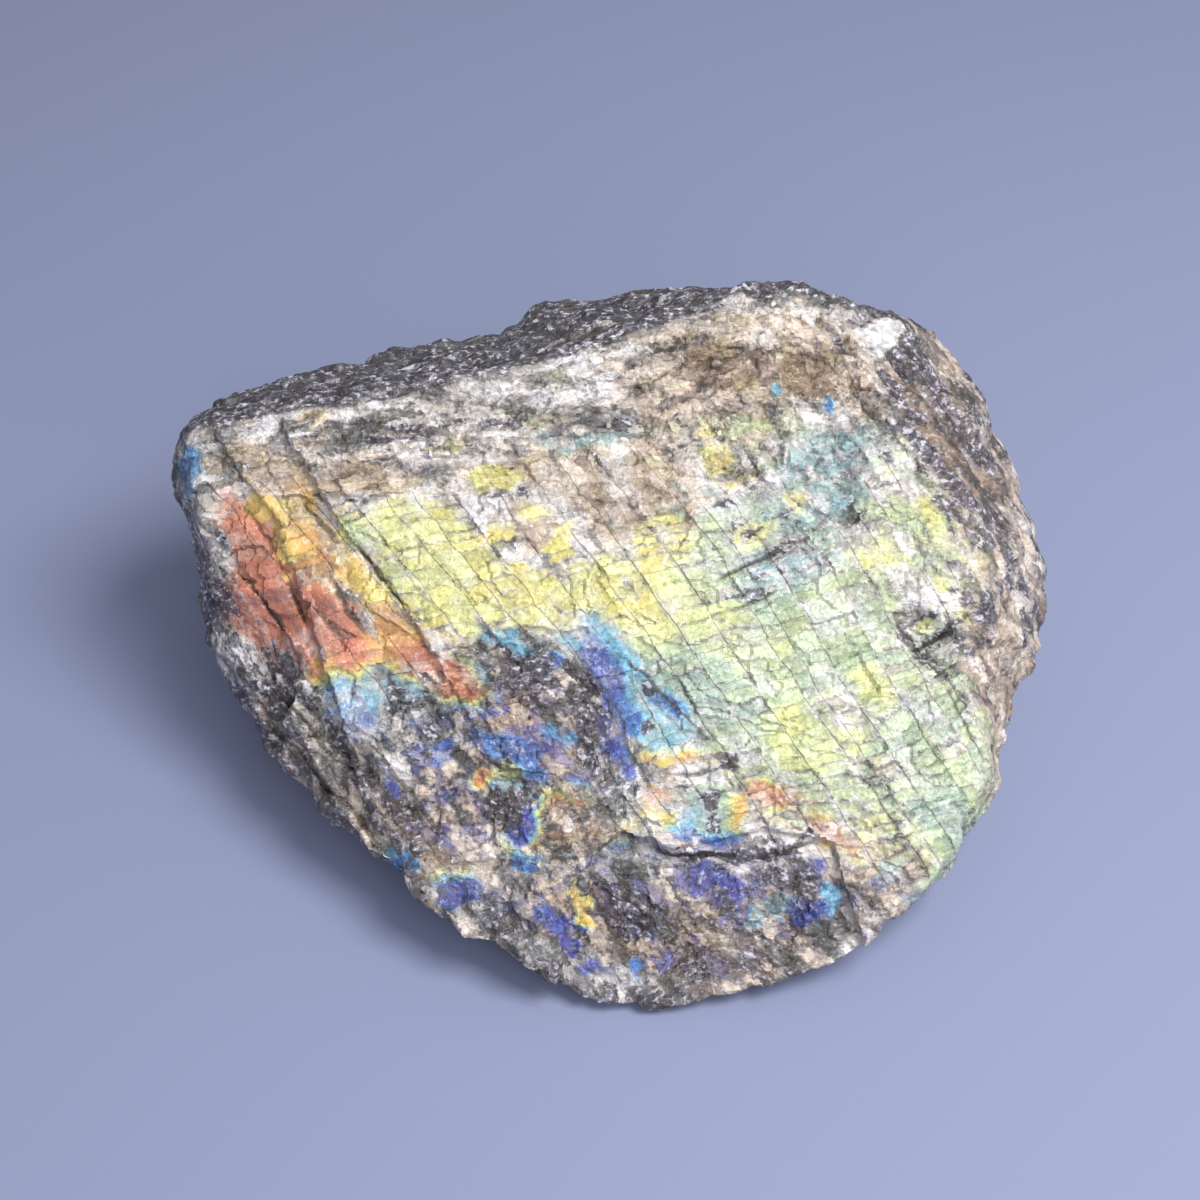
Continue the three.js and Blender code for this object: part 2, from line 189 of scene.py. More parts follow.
# The flash: its hue, from violet at 0 through blue, green, yellow and orange to red-brown at 1, and strength
FLASHES = [
    # The ground under the blades
    (-39, -3, 15, 8.5, -57, 0.88, 0.72),
    # The pale green field
    (26, -14, 26, 17, -32, 0.5, 0.85), (43, -30, 12, 16, 15, 0.5, 0.66), (20, 2, 12, 7, 10, 0.5, 0.7),
    (12, -9, 10, 6, -30, 0.56, 0.9), (15, -18, 8, 4, -42, 0.46, 0.95), (27, -24, 4, 4, -60, 0.58, 1),
    (34, -24, 1.6, 1.4, 0, 0.6, 1), (37, -17, 3, 2.5, -60, 0.6, 0.95), (45, -34, 5, 4, -60, 0.46, 0.95),
    (32, -19, 4, 3, -60, 0.5, 0.4), (39, -29, 3, 3, 0, 0.52, 0.4), (38, -40, 6, 5, -30, 0.6, 0.25),
    (38, 13, 8, 5, -60, 0.52, 0.35), (22, 17, 13, 5, 0, 0.52, 0.42), (43, 7, 11, 5, -62, 0.52, 0.5),
    (29, 9, 13, 5.5, 62, 0.4, 0.62), (14, 10, 6, 3, 0, 0.42, 0.3), (29, 5, 5, 3, 10, 0.42, 0.6),
    (20.5, 4, 3, 1.5, 15, 0.62, 0.95), (37.5, 2, 3, 2.5, -30, 0.6, 0.8), (27, 9, 1.6, 1.2, 0, 0.64, 0.95),
    # The yellow field
    (-22, -1, 13, 7.5, -40, 0.65, 0.97), (-26, 1.5, 7, 4, -52, 0.62, 0.95),
    (-17, -6, 4, 2.5, -30, 0.6, 1), (-9, -5, 8, 4, -20, 0.66, 0.95), (2, -4, 7, 5, -20, 0.66, 0.95),
    (8, 3, 4, 3, 20, 0.68, 0.7), (-5.5, 2.5, 3, 1.5, 80, 0.68, 1), (-9.4, 6.8, 2.2, 1.2, 25, 0.66, 1),
    (-14, 4.2, 2.5, 1.5, 0, 0.68, 0.95), (-14.5, 12.3, 3.4, 2.2, 0, 0.67, 1),
    (17, 13, 3.5, 2.4, -50, 0.71, 0.8), (15.3, 18.3, 1.3, 1, 0, 0.7, 0.8),
    (-34.4, 4.7, 2.2, 1.5, -50, 0.52, 1), (46.4, 5, 4.2, 2, -62, 0.63, 0.9),
    (46.5, -3.3, 2.3, 0.8, -62, 0.65, 1), (50, 1, 6, 3, -75, 0.55, 0.34),
    (49.5, -7.5, 1.2, 0.8, 0, 0.66, 0.9), (44.5, -8.5, 1.2, 0.9, 0, 0.64, 0.9),
    # The blades on the left
    (-46.3, 0, 12, 3.6, -60, 0.93, 1), (-42.5, -7, 5, 2.2, -60, 0.98, 1),
    (-47.5, -7.5, 8, 2.4, -52, 0.97, 0.85), (-39.2, 3.5, 8.5, 3, -68, 0.8, 0.7),
    (-37.8, 6.5, 3.5, 1.5, -60, 0.76, 0.6), (-43.3, 5, 5.5, 1.5, -84, 0.75, 1),
    (-46.4, 8.7, 2.2, 1.6, -30, 0.75, 1), (-36, -9.3, 7, 3.2, -48, 0.97, 1),
    (-32, -6, 9.5, 2.4, -58, 0.84, 0.85), (-33.6, -4.6, 8, 0.9, -58, 0.86, 0.3),
    (-29.3, -6.2, 9.5, 2.1, -54, 0.75, 1), (-26, -11.8, 5.5, 3.2, -42, 0.85, 1),
    (-20, -16.5, 6.5, 4, -30, 0.94, 0.55), (-36, -15, 4, 2.4, -45, 0.86, 1),
    (-34, -16.6, 3.6, 1.5, -45, 0.68, 1), (-33, -17.8, 3.6, 1.1, -45, 0.42, 0.9),
    (-26, -19, 6, 2.4, -40, 0.12, 0.25), (-31, -17.2, 2, 1, -70, 0.3, 1),
    (-27, -17, 3.2, 2.2, -50, 0.15, 0.95), (-24.2, -18.6, 2, 0.8, -70, 0.45, 0.8),
    (-33.5, -21, 5.5, 2.8, -45, 0.22, 0.6), (-26.5, -29, 8, 2.6, -48, 0.16, 0.5),
    (-57.2, 14, 4.5, 1.9, 90, 0.24, 1), (-13, -7.6, 5.5, 2, -8, 0.61, 0.9),
    # The bay: dull ground, a blue and cyan rim, and the glassy band beside the ridge
    (-9, -27, 18, 14, -35, 0.68, 0.2), (-13, -22, 11, 6, -25, 0.1, 0.24), (-4, -26, 6, 9, 15, 0.03, 0.28),
    (-18, -36, 16, 6, -48, 0.08, 0.28), (-5, -38, 7, 6, 0, 0.9, 0.12),
    (-21, -15.5, 5.5, 2.6, -30, 0.93, 0.6), (-13.4, -10.4, 2.4, 1.3, -20, 0.33, 1),
    (-11, -11.6, 2.2, 1, -25, 0.29, 1), (-6.5, -13.5, 1.8, 1.2, -40, 0.18, 0.9),
    (-3.7, -10.8, 1.9, 1.4, 0, 0.33, 1), (0, -9.8, 2.4, 1.8, -40, 0.33, 0.95),
    (5.5, -17, 9, 2.6, -43, 0.335, 1), (7.5, -22, 5, 3, -43, 0.37, 0.9),
    (9.3, -19.5, 2, 1.4, -43, 0.22, 1), (-1.3, -12.8, 1.9, 1.4, -40, 0.06, 0.9),
    (0.8, -16, 5.5, 1.7, -68, 0.1, 0.85), (2.3, -25, 5.5, 1.4, -72, 0.1, 0.8),
    (4, -22, 2.5, 1.6, -60, 0.2, 0.85), (10.3, -26.8, 4.8, 1.1, -3, 0.8, 0.8),
    (8.7, -27, 0.9, 0.8, 0, 0.7, 1), (14.7, -34.5, 5, 3.6, -35, 0.44, 0.95),
    (11, -36, 2, 2, 0, 0.36, 0.9), (7.3, -31.8, 2, 1.6, 0, 0.86, 0.9), (9, -34.6, 1, 1, 0, 0.72, 1),
    (22.3, -31.5, 3, 1.2, -10, 0.9, 0.45), (18.7, -33.6, 2, 1.3, 70, 0.78, 0.85),
    (32, -38, 4.5, 1.3, -45, 0.92, 0.8), (19.4, -39.7, 1.6, 0.7, 0, 0.32, 1),
    # Blue patches and their rainbow rims
    (-17, -23, 3.5, 2, -20, 0.17, 0.4), (-20.8, -25.6, 2, 1.3, 90, 0.15, 1),
    (-11, -26, 3.7, 2.4, -30, 0.19, 0.9), (-8.5, -28, 2, 1.2, -30, 0.21, 1),
    (-5.4, -23.2, 2.2, 1.4, -30, 0.24, 0.75), (-14, -29.2, 2.8, 1.4, 15, 0.62, 1),
    (-15.6, -29.4, 1.3, 1.1, 40, 0.92, 1), (-12.6, -30.2, 2, 0.8, 0, 0.36, 1),
    (-8.4, -34.6, 2.6, 1.4, 80, 0.62, 1), (-10.6, -35.2, 2.9, 2, 70, 0.08, 1),
    (-9.8, -40, 2, 1.1, 0, 0.28, 1),
    # Under the ledge
    (12, -48, 26, 8, 0, 0.06, 0.16), (17, -43, 10, 5, -10, 0.06, 0.34), (4, -46, 8, 5, -40, 0.08, 0.3),
    (-2.4, -46.3, 3.4, 0.9, -62, 0.76, 0.9), (-6, -47.8, 2.9, 1.6, -45, 0.09, 1),
    (-4, -51, 1.6, 1.3, 0, 0.06, 0.9), (-1.4, -54.5, 1.6, 1, 0, 0.03, 0.9),
    (5.2, -53.8, 1.5, 1, 90, 0.22, 1), (15, -43.5, 4.8, 2.8, -15, 0.07, 0.8),
    (8, -38.5, 2.5, 1.2, 0, 0.12, 0.45), (20.7, -47.5, 1.8, 1.4, 90, 0.36, 0.75),
    (24, -46, 2.2, 1.4, -30, 0.33, 0.65), (28.2, -41, 1.5, 1.4, 0, 0.06, 0.85),
    (30.2, -45, 2.4, 1.1, -80, 0.31, 1), (27.5, -47.3, 2.1, 1.8, 0, 0.09, 1),
    (-26.6, -40.3, 2.9, 1.5, -35, 0.23, 1), (-28, -39, 1.1, 0.9, 0, 0.34, 1),
    (-19.2, -42, 3.4, 0.9, 5, 0.72, 1), (-19.2, -43.3, 3.4, 0.9, 0, 0.33, 1),
    (-18.5, -44.9, 3.3, 1.2, 0, 0.09, 1),
    # Slivers near the top
    (24.2, 24.8, 1.3, 0.8, 100, 0.34, 1), (31.7, 22.4, 1.6, 0.8, 98, 0.22, 1),
    (-1, 18, 8.5, 1.8, 2, 0.4, 0.5),
]

# Where the face is granular, and not cleaved
GRANULAR = [
    (-22, 19, 44, 6, 4, 0.7), (8, 25, 24, 8, 10, 0.8), (28, 28, 15, 12, -20, 0.95),
    (2, 10, 15, 7, 0, 0.36), (29, 11, 14, 6, 62, 0.5), (24, 16, 14, 5, 10, 0.62),
    (-20, 12, 14, 3, 0, 0.45), (-11, -19, 13, 9, -25, 0.75), (-15, -34, 20, 13, -45, 0.8),
    (14, -48, 32, 8, 0, 0.8), (45, 6, 16, 6, 65, 0.5),
]

# Dark mica and pyroxene grains, and one dark line of painted shade under the ledge
MICA = [
    (-10, -15, 4.2, 3.6, -10, 0.85), (-15.4, -11.5, 1, 1, 0, 1), (-1.8, -22, 8, 2, -80, 0.85),
    (0.2, -19.5, 6, 0.9, -70, 0.6), (-12.8, -33, 3.4, 2.6, 20, 0.9), (17, -27, 1.3, 1.1, -40, 1),
    (7.3, -17.5, 1.3, 1, -40, 0.95), (6.6, -22.6, 0.8, 0.6, 0, 1), (14.7, -32.3, 1.7, 1.3, 90, 1),
    (15.2, -35, 1, 0.8, 90, 1), (13, -36.2, 0.9, 0.7, 0, 0.95), (3.6, -31, 1.2, 0.7, -50, 0.9),
    # The stroke at (17, -39.3) is painted shade: the dark line under the ledge
    (2, -33.5, 1, 0.6, -50, 0.8), (25, -41, 4.6, 3.4, -30, 0.8), (17, -39.3, 9, 0.7, 2, 0.95),
    (27, -36.8, 3.6, 0.7, 25, 0.9), (4.3, -47, 3.8, 3.4, -60, 0.8), (15, -54, 6, 3.5, 0, 0.5),
    (22, -51.8, 2, 2, 0, 0.75), (-33, 19, 6, 1, 4, 0.6), (-27, 18, 7, 1.2, 3, 0.6),
    (-15, 20.2, 8, 0.9, 2, 0.5), (2.5, 20.5, 3.2, 1.1, -8, 0.85), (23, 26.5, 1.6, 1, 0, 0.6),
    (20, 21.5, 1.6, 1, -30, 0.5), (-36, 9.6, 4, 0.5, -4, 0.8), (-12, 9.6, 4, 0.5, 6, 0.5),
    (23, 5.5, 5.5, 0.5, 35, 0.6), (19, 9, 5, 0.4, 20, 0.5), (25, 2, 4, 0.4, 30, 0.6),
    (16, 4, 5, 0.4, 20, 0.5), (12, 0, 5, 0.35, 15, 0.45), (20.5, -4.2, 4.8, 0.5, 17, 0.75),
    (22, -1.6, 3, 0.4, 17, 0.6), (-28.5, -16.8, 3.5, 1, -50, 0.75), (-24.5, -21, 5, 1.6, -50, 0.7),
    (43, -11, 4.5, 1.1, -52, 0.75), (47.5, -9, 5.5, 0.7, 32, 0.75), (49, -12.5, 5.5, 0.7, 26, 0.65),
    (45.5, -6, 5, 0.6, 40, 0.6),
    # On the flanks
    (-56, -3, 9, 3, 75, 0.7), (-49, -15.4, 2.6, 1.6, -50, 1), (-44.5, -23, 2.4, 1.8, -60, 0.95),
    (-44, -16, 6, 3, -50, 0.65), (-33, -27, 5, 1, -50, 0.9), (-28, -19, 8, 0.8, -60, 0.7),
    (43, 34, 5, 1.6, -50, 0.95), (41, 25, 6, 1.6, -55, 0.7), (43.5, 17, 6.5, 1.5, -52, 0.85),
    (47, 12.5, 6.5, 1.2, -52, 0.85), (52, 8, 6, 1.2, -52, 0.75), (46, 27.5, 8, 1.7, -58, 0.85),
    (51, 18, 7, 1, -55, 0.6), (40.5, 21, 4, 1, -55, 0.6), (45.5, -12.5, 4.6, 1, -28, 0.4),
    (55, -20, 14, 5, 80, 0.08), (56, 3, 10, 1.6, -70, 0.6), (49, 6, 8, 1, -55, 0.6),
    (42, -48, 9, 3, 40, 0.2),
]

# Brown weathering
RUST = [
    (-20, 16, 32, 5, 3, 0.3), (20, 29, 18, 8, 10, 0.58), (14, 20, 11, 6, 10, 0.58),
    (4, 9, 10, 6, 10, 0.8), (-5, 13, 11, 3, 0, 0.66), (-9, 5, 7, 3.5, 0, 0.62), (-42, 13, 10, 4, 0, 0.5),
    (-30, 12, 9, 3, 0, 0.45), (48, 18, 14, 5, -60, 0.65), (-8, -24, 11, 10, -20, 0.62),
    (-15, -36, 12, 6, -45, 0.5), (12, -48, 24, 6, 0, 0.56), (17.5, 27.5, 5, 3.2, 0, 1.1),
    (29.5, 27, 5.2, 3.6, -5, 1), (36, 25, 6, 3, -60, 0.65), (-33.3, 12.4, 4.5, 1.7, 5, 0.95),
    (-49, 16, 5, 2, 10, 0.6), (-40.3, 21, 2, 0.8, 0, 0.7), (-39.2, 3.5, 8.5, 3, -68, 1),
    (-4, -37, 6, 5, 0, 0.5), (25, -33, 7, 3, -20, 0.75), (-18.5, -17.5, 4.5, 3, -20, 0.5),
    (-5, -18, 4, 3, 0, 0.35), (-24, -36.5, 8, 2, -46, 0.8), (16, -54, 9, 4, 0, 0.6),
    (37, -42, 9, 5, -30, 0.62), (-42, -27, 5, 2.5, -60, 0.5), (54, -12, 5, 5, 0, 0.55),
    (56, 8, 6, 4, 80, 0.45), (53, -26, 10, 3.5, 85, 0.65), (58, -4, 8, 4, 80, 0.4),
]

# How pale the feldspar is, from glassy grey to white, with two patches of painted shade
PALE = [
    (-9, -27, 18, 14, -35, 0.08), (12, -48, 26, 8, 0, 0.08), (-20, 16, 40, 7, 3, 0.42),
    (24, 30, 18, 9, 0, 0.46), (6, 24, 8, 6, 0, 0.48), (22, 34, 8, 3.2, 8, 0.72),
    (33, 33, 5, 3, -20, 0.66), (50, 14, 15, 5, -58, 0.1), (39.5, 33, 4, 2.6, 40, 1),
    (-16, 24.7, 5.5, 1.3, 0, 0.75), (-9.7, 24, 3.2, 1.1, -30, 0.75), (-1.4, 28.3, 4.5, 1.3, 10, 0.8),
    (-45, 16.5, 6, 2.6, 10, 0.6), (-37, 18, 3.2, 1.5, 0, 0.65), (12, 11.3, 6.5, 1, -10, 0.8),
    (-26, 10.5, 5.5, 1.8, -10, 0.6), (15, -29, 5, 1, -5, 0.65), (20.7, -47.5, 1.6, 1.2, 90, 0.7),
    (-33.5, -5.5, 5.5, 0.8, -52, 0.6), (-15.5, -38, 7, 3, -45, 0.42), (-4, -37, 2, 1.5, 0, 0.5),
    # The patch at (31, 9) greys the teal band where it lies in shade: painted shade
    (59, 2, 12, 2, 85, 0.6), (31, 9, 12, 5, 70, 0.1), (53, 4, 7, 3, -70, 0.45),
    (-33, 18.5, 9, 1.6, 4, 0.08), (-6, 20.5, 8, 1.8, -4, 0.08), (-20, 13, 9, 1.4, 2, 0.16),
    (4, 9, 8, 4, 10, 0.46), (20, 19, 7, 2.4, -15, 0.14), (10, 30, 8, 2, 10, 0.16),
    # The patch at (44, -34) greys the lower right where it curves away from the light: painted shade
    (44, -34, 9, 14, 15, 0.12), (-41, 1, 15, 6, -60, 0.22), (55, -20, 12, 4, 80, 0.5),
    (38, -50, 10, 3, 35, 0.5),
]


def tint(red, green, blue):
    """A colour given as it looks on a screen, 0 to 255, as the linear values that materials take."""
    shares = (red / 255, green / 255, blue / 255)
    return tuple(((share + 0.055) / 1.055) ** 2.4 if share > 0.04 else share / 12.92 for share in shares)


# Feldspar from glassy grey to white, and the same where it is weathered
FELDSPAR_COLOURS = [
    (0, tint(84, 84, 80)),
    (0.2, tint(122, 120, 124)),
    (0.38, tint(164, 158, 154)),
    (0.55, tint(202, 195, 190)),
    (0.75, tint(228, 222, 222)),
    (1, tint(242, 240, 242)),
]
WARM_SHADOW = tint(98, 84, 80)
WARM_GREY = tint(150, 132, 120)
WARM_WHITE = tint(218, 200, 180)

# The flash, by its hue
FLASH_COLOURS = [
    (0, tint(110, 104, 168)),
    (0.09, tint(68, 82, 164)),
    (0.2, tint(78, 120, 184)),
    (0.31, tint(126, 188, 216)),
    (0.39, tint(144, 172, 174)),
    (0.5, tint(184, 200, 162)),
    (0.6, tint(214, 217, 152)),
    (0.69, tint(226, 215, 132)),
    (0.78, tint(226, 184, 104)),
    (0.86, tint(206, 142, 100)),
    (0.94, tint(202, 126, 102)),
    (1, tint(150, 96, 82)),
]

# Dark grains, with painted sheen and glints on some, the colour of cracks, and the painted shade in crevices
MICA_EDGE = tint(70, 66, 76)
MICA_SHEEN = tint(108, 104, 116)
MICA_GLINT = tint(200, 198, 208)
CRACK_COLOUR = tint(88, 90, 68)
CREVICE_SHADE_COLOUR = tint(62, 54, 46)

# How far each pattern swings a quality of the stone, from one end of the swing to the other
TONE_SWINGS = {"mottle": 0.5, "flake x": 0.55, "fine": 0.3, "streaky": 0.5}
RUST_SWINGS = {"mottle": 1.2, "fine": 0.6, "shard": 0.45, "flake z": 0.35}
HUE_SWINGS = {"fine": 0.16, "block x": 0.06, "mottle": 0.1}
FLASH_SWINGS = {"block y": 0.55, "chip y": 0.15, "mottle": 1.3, "fine": 0.5}
SHADE_SWINGS = {"block z": 0.3, "chip z": 0.16}
MICA_SWINGS = {"streaky": 1.3, "mottle": 1, "flake y": 0.6, "fine": 0.9}


# ---- Settings ----
class StoneSettings(bpy.types.PropertyGroup):
    """Sizes and colours of the stone."""

    grid: bpy.props.FloatProperty(
        name="Grid", description="Spacing of the mesh that is carved", default=0.45 * MM, unit="LENGTH"
    )
    facets: bpy.props.IntProperty(
        name="Triangles", description="Most triangles that the finished stone may have", default=190000
    )
    tan: bpy.props.FloatVectorProperty(
        name="Tan", description="Lightly weathered feldspar", default=tint(198, 175, 154), subtype="COLOR"
    )
    # Also the white of the painted glints on chips
    chalk: bpy.props.FloatVectorProperty(
        name="Chalk", description="Finely broken feldspar", default=tint(238, 237, 242), subtype="COLOR"
    )
    rust: bpy.props.FloatVectorProperty(
        name="Rust", description="Brown weathering", default=tint(134, 111, 90), subtype="COLOR"
    )
    veil: bpy.props.FloatVectorProperty(
        name="Veil", description="White veils over the flash", default=tint(204, 206, 210), subtype="COLOR"
    )
    mica: bpy.props.FloatVectorProperty(
        name="Mica", description="Dark grains", default=tint(44, 41, 48), subtype="COLOR"
    )


class StageSettings(bpy.types.PropertyGroup):
    """The camera, the lights and the floor."""

    lens: bpy.props.FloatProperty(name="Lens", description="Focal length in millimetres", default=70.0)
    distance: bpy.props.FloatProperty(
        name="Distance", description="From the camera to the stone", default=322 * MM, unit="LENGTH"
    )
    elevation: bpy.props.FloatProperty(
        name="Elevation", description="Of the camera", default=math.radians(45), subtype="ANGLE"
    )
    floor: bpy.props.FloatVectorProperty(
        name="Floor", description="Colour of the floor", default=tint(132, 140, 171), subtype="COLOR"
    )
    key: bpy.props.FloatProperty(name="Key", description="Power of the key light in watts", default=4.0)
    sky: bpy.props.FloatProperty(name="Sky", description="Strength of light from all round", default=0.36)


# ---- Places on the cleavage face ----
def read_spots(mesh):
    """Where each vertex is, in metres."""
    spots = np.empty(len(mesh.vertices) * 3, np.float32)
    mesh.vertices.foreach_get("co", spots)
    return spots.reshape(-1, 3)


def write_spots(mesh, spots):
    """Puts each vertex in its new place."""
    mesh.vertices.foreach_set("co", spots.astype(np.float32).ravel())
    mesh.update()


def face_places(mesh):
    """Each vertex's place across, up and out of the cleavage face, in millimetres."""
    from_middle = read_spots(mesh) / MM - np.array(FACE_MIDDLE)
    return [from_middle @ np.array(way) for way in (ACROSS, UPHILL, OUTWARD)]


def ease(low, high, value):
    """0 below low, 1 above high, and a smooth rise between them."""
    t = np.clip((value - low) / (high - low), 0, 1)
    return t * t * (3 - 2 * t)


def stroke(across, up, middle_across, middle_up, length, width, turn):
    """1 inside an oval brush stroke, falling softly to 0 outside it."""
    cosine = math.cos(math.radians(turn))
    sine = math.sin(math.radians(turn))
    x = across - middle_across
    y = up - middle_up
    away = np.hypot((cosine * x + sine * y) / length, (cosine * y - sine * x) / width)
    return 1 - ease(*STROKE_RIM, away)


def beside(across, up, start, end):
    """How far each place lies to the left of a line, and how far along it, as a share of its length."""
    along = np.array(end, float) - np.array(start, float)
    length = math.hypot(*along)
    along /= length
    x = across - start[0]
    y = up - start[1]
    return along[0] * y - along[1] * x, (along[0] * x + along[1] * y) / length


def inside_face(across, up, out):
    """How far each place is inside the edge of the cleavage face, or less than 0 outside it."""
    nearest = np.full(len(across), np.inf)
    inside = np.zeros(len(across), bool)
    for (ax, ay), (bx, by) in zip(FACE_EDGE, FACE_EDGE[1:] + FACE_EDGE[:1]):
        x = bx - ax
        y = by - ay
        t = np.clip(((across - ax) * x + (up - ay) * y) / (x * x + y * y), 0, 1)
        nearest = np.minimum(nearest, np.hypot(across - ax - t * x, up - ay - t * y))
        if y:
            inside ^= ((ay > up) != (by > up)) & (across < ax + (up - ay) * x / y)
    edge = np.where(inside, nearest, -nearest)
    return np.minimum(edge, out + FACE_DEPTH)


def wobble(across, up, out, size, seed):
    """Smooth noise from about -1 to 1, made of crossing waves."""
    rng = np.random.default_rng(seed)
    total = np.zeros(len(across))
    for _ in range(WAVES):
        way = rng.normal(size=3)
        way *= 2 * math.pi / size / np.linalg.norm(way) * rng.uniform(*WAVE_SPREAD)
        total += np.sin(across * way[0] + up * way[1] + out * way[2] + rng.uniform(0, FULL_TURN))
    return total / WAVES_HEIGHT


def wobbled(values, places, *waves):
    """Values moved by wobbles, each given by its height, size and seed."""
    for amount, size, seed in waves:
        values = values + amount * wobble(*places, size, seed)
    return values


# ---- Nodes ----
class Board:
    """Adds nodes to a tree and joins them up. A source is a socket, or a plain value."""

    def __init__(self, tree):
        self.tree = tree

    def add(self, kind, sources=(), **settings):
        """A new node, with its sources joined by place or by name."""
        node = self.tree.nodes.new(kind)
        for name, value in settings.items():
            setattr(node, name, value)
        items = sources.items() if isinstance(sources, dict) else enumerate(sources)
        for key, source in items:
            if isinstance(source, bpy.types.NodeSocket):
                self.tree.links.new(source, node.inputs[key])
            else:
                node.inputs[key].default_value = source
        return node

    def math(self, operation, *sources):
        return self.add("ShaderNodeMath", sources, operation=operation).outputs[0]

    def times(self, first, second):
        return self.math("MULTIPLY", first, second)

    def total(self, *sources):
        sum_so_far = sources[0]
        for source in sources[1:]:
            sum_so_far = self.math("ADD", sum_so_far, source)
        return sum_so_far

    def swung(self, value, amount):
        """A value from 0 to 1 as a swing of up to half the amount either way."""
        return self.times(self.math("SUBTRACT", value, 0.5), amount)

    def rise(self, value, low, high, to_low=0, to_high=1):
        """A smooth rise or fall, as a value goes from low to high."""
        sources = {"Value": value, "From Min": low, "From Max": high, "To Min": to_low, "To Max": to_high}
        return self.add("ShaderNodeMapRange", sources, interpolation_type="SMOOTHSTEP").outputs["Result"]

    def vector(self, operation, *sources):
        node = self.add("ShaderNodeVectorMath", sources, operation=operation)
        return node.outputs["Value" if operation == "DOT_PRODUCT" else "Vector"]

    def scaled(self, vector, factor):
        return self.add("ShaderNodeVectorMath", {0: vector, 3: factor}, operation="SCALE").outputs[0]

    def centred(self, colour):
        """A random colour as a vector that points any way."""
        return self.vector("SUBTRACT", colour, (0.5, 0.5, 0.5))

    def parts(self, vector):
        """The three parts of a vector or a colour."""
        return self.add("ShaderNodeSeparateXYZ", (vector,)).outputs

    def measured(self, place, ways):
        """A place measured along three ways, each a vector."""
        parts = [self.vector("DOT_PRODUCT", place, tuple(way)) for way in ways]
        return self.add("ShaderNodeCombineXYZ", parts).outputs[0]

    def mixed(self, factor, first, second):
        """A number between two, from the first at 0 to the second at 1."""
        return self._mix("FLOAT", 2, factor, first, second).outputs[0]

    def chosen(self, factor, first, second):
        """One of two vectors, by a factor of 0 or 1."""
        return self._mix("VECTOR", 4, factor, first, second).outputs[1]

    def blended(self, factor, first, second, blend="MIX"):
        """A colour between two."""
        return self._mix("RGBA", 6, factor, first, second, blend_type=blend).outputs[2]

    def _mix(self, kind, first_input, factor, first, second, **settings):
        sources = {0: factor}
        for place, source in ((first_input, first), (first_input + 1, second)):
            plain_colour = kind == "RGBA" and not isinstance(source, bpy.types.NodeSocket)
            sources[place] = (*source, 1) if plain_colour else source
        return self.add("ShaderNodeMix", sources, data_type=kind, **settings)

    def noise(self, place, scale, detail=2, roughness=0.5, dimensions="3D"):
        """Cloudy noise: its value and its colour."""
        sources = {"Vector": place, "Scale": scale, "Detail": detail, "Roughness": roughness}
        node = self.add("ShaderNodeTexNoise", sources, noise_dimensions=dimensions)
        return node.outputs[0], node.outputs["Color"]

    def cells(self, place, scale=1, feature="F1", dimensions="3D"):
        sources = {"Vector": place, "Scale": scale}
        return self.add("ShaderNodeTexVoronoi", sources, feature=feature, voronoi_dimensions=dimensions)

    def gap(self, place, scale=1, dimensions="3D"):
        """How far each place is from the gaps between cells."""
        return self.cells(place, scale, "DISTANCE_TO_EDGE", dimensions).outputs["Distance"]

    def rows(self, value, size, feature="F1"):
        """Uneven rows along one value, each about so long."""
        sources = {"W": value, "Scale": 1 / size}
        return self.add("ShaderNodeTexVoronoi", sources, voronoi_dimensions="1D", feature=feature)

    def ramp(self, factor, stops):
        """A colour from a row of colours, each with its position."""
        node = self.add("ShaderNodeValToRGB", (factor,))
        elements = node.color_ramp.elements
        while len(elements) < len(stops):
            elements.new(0.5)
        for element, (position, colour) in zip(elements, stops):
            element.position = position
            element.color = (*colour, 1)
        return node.outputs[0]


def face_millimetres(board, position):
    """A position as millimetres across, up and out of the cleavage face."""
    from_middle = board.vector("SUBTRACT", board.scaled(position, 1 / MM), tuple(FACE_MIDDLE))
    return board.measured(from_middle, (ACROSS, UPHILL, OUTWARD))


def skewed(board, place, ways, sizes):
    """A place measured along three slanting ways, in units of each one's size."""
    return board.measured(place, [Vector(way).normalized() / size for way, size in zip(ways, sizes)])


def streaks(board, place, is_level, falling_size, level_size):
    """A place measured along the streaks, which are level or fall. Each size is a length and a thickness."""
    falling = skewed(board, place, FALLING, (*falling_size, falling_size[1]))
    level = skewed(board, place, LEVEL, (*level_size, level_size[1]))
    return board.chosen(is_level, falling, level)


def tilted_facets(board, place, cells):
    """The height over each cell of a facet tilted its own way."""
    lean = board.centred(cells.outputs["Color"])
    return board.vector("DOT_PRODUCT", lean, board.vector("SUBTRACT", place, cells.outputs["Position"]))


def brickwork(board, u, v, wide, long):
    """Uneven blocks: each place's way from its block's middle, its block's luck, and v shifted by row."""
    row = board.rows(u, wide)
    shifted = board.math("ADD", v, board.times(board.parts(row.outputs["Color"])[0], ROW_SHIFT))
    block = board.rows(shifted, long)
    from_row = board.math("SUBTRACT", u, row.outputs["W"])
    from_block = board.math("SUBTRACT", shifted, block.outputs["W"])
    return (from_row, from_block), board.parts(block.outputs["Color"]), shifted


def block_height(board, from_middle, luck, steep_u, steep_v, step):
    """The height of each block's top, which leans its own way and stands a little over or under the next."""
    return board.total(
        board.times(from_middle[0], board.swung(luck[0], steep_u)),
        board.times(from_middle[1], board.swung(luck[1], steep_v)),
        board.swung(luck[2], step),
    )


# ---- Shaping ----
def only(piece):
    """Makes a piece the one that operators act on."""
    bpy.ops.object.select_all(action="DESELECT")
    piece.select_set(True)
    bpy.context.view_layer.objects.active = piece


